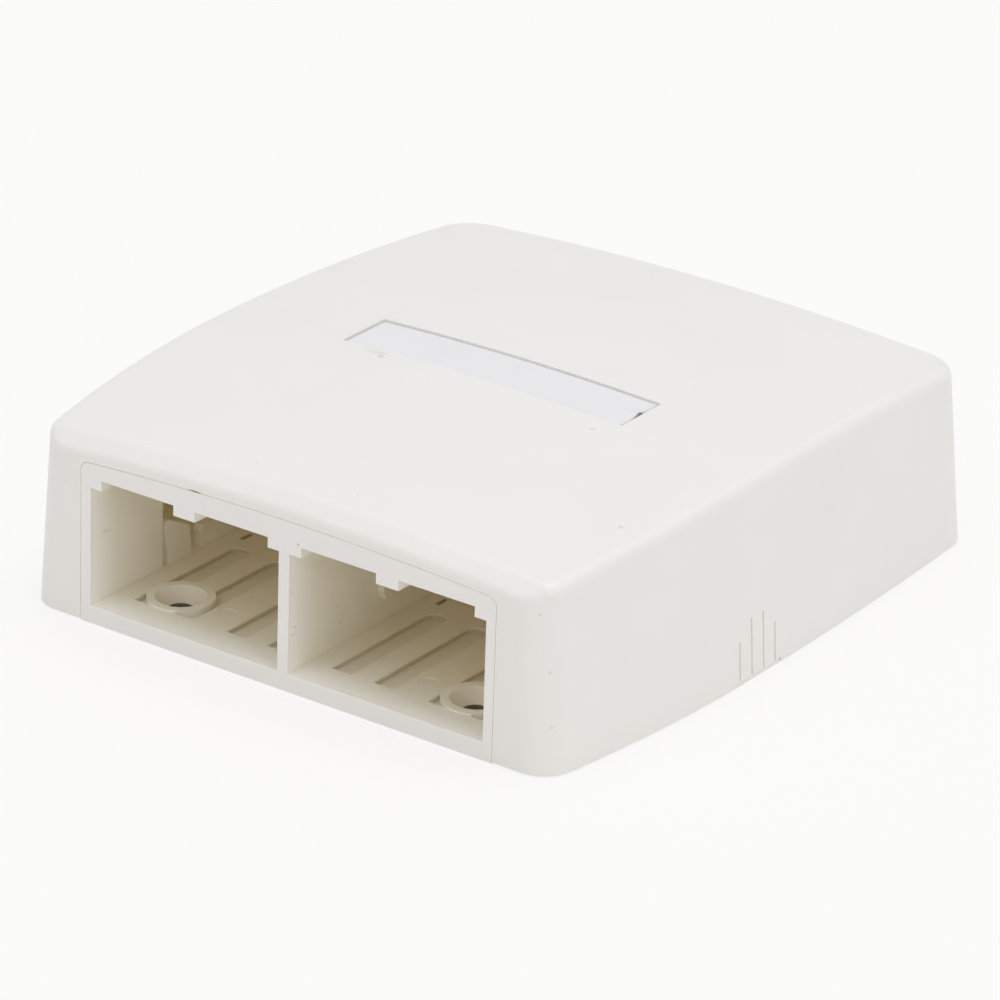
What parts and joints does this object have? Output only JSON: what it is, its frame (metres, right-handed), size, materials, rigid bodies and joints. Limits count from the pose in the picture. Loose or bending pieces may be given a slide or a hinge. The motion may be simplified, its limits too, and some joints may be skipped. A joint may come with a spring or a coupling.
{
  "type": "surface mount jack box",
  "caption": "Low domed plastic wall box with two open jack bays in front, a lift-off crowned cover with side cable breakouts and a label strip on top.",
  "frame": {"origin": "under the middle of the box, on the surface that it rests on", "axes": "+Z out of the wall or table through the domed top, -Y out of the jack bays at the front, +X to the right seen from the front"},
  "size_m": [0.0954, 0.1032, 0.0312],
  "materials": {
    "base_plastic": "off-white moulded plastic, fine satin",
    "cover_plastic": "off-white moulded plastic, fine satin",
    "label_paper": "plain white paper"
  },
  "bodies": {
    "base": {"base": "base_plastic"},
    "cover": {"cover": "cover_plastic", "label_strip": "label_paper"}
  },
  "joints": [
    {"name": "cover_lift", "type": "slide", "parent": "base", "child": "cover", "axis": [0, 0, 1], "range_m": [0, 0.045]}
  ]
}
